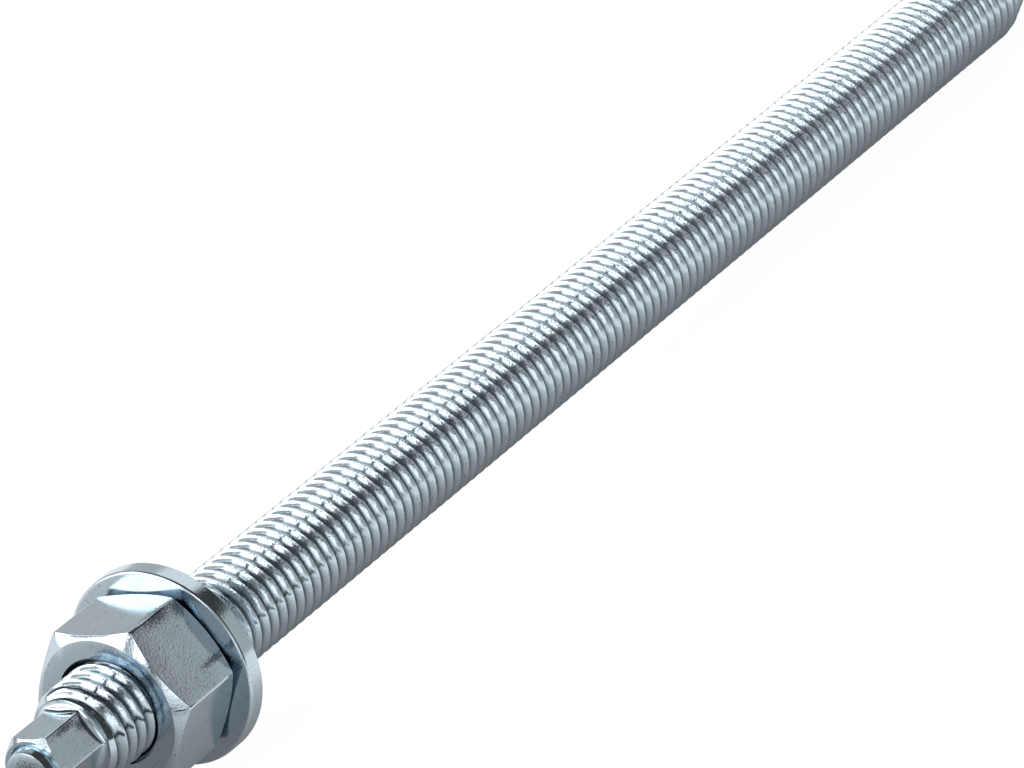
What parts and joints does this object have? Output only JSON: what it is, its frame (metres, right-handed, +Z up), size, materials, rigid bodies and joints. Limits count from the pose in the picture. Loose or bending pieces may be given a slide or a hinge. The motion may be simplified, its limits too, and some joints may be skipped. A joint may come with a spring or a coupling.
{
  "type": "anchor rod",
  "caption": "Fully threaded steel rod with a hexagon drive, tapered tip, hexagon nut and flat washer, set in a drilled hole to hold a fixture.",
  "frame": {"origin": "on the rod's axis, in the plane of the washer's bearing face", "axes": "+X along the rod towards its embedded tip, +Z up as the rod lies on a surface"},
  "size_m": [0.2261, 0.0234, 0.0234],
  "materials": {
    "rod_steel": "bright zinc plated rolled steel, fine grainy sheen",
    "nut_steel": "bright zinc plated cold formed steel, smooth facets with some grainy patches",
    "washer_steel": "bright zinc plated punched steel, fine pitted texture"
  },
  "bodies": {
    "rod": {"threaded_rod": "rod_steel"},
    "washer": {"washer": "washer_steel"},
    "nut": {"hex_nut": "nut_steel"}
  },
  "joints": [
    {"name": "washer_slide", "type": "slide", "parent": "rod", "child": "washer", "axis": [-1, 0, 0], "range_m": [-0.188, 0.0176]},
    {"name": "nut_turn", "type": "hinge", "parent": "washer", "child": "nut", "pos_m": [-0.0076, 0, 0], "axis": [-1, 0, 0], "range_deg": [-38674, 3620]}
  ],
  "couplings": [
    {"joint": "washer_slide", "follows": "nut_turn", "m_per_rad": 0.00027852}
  ]
}
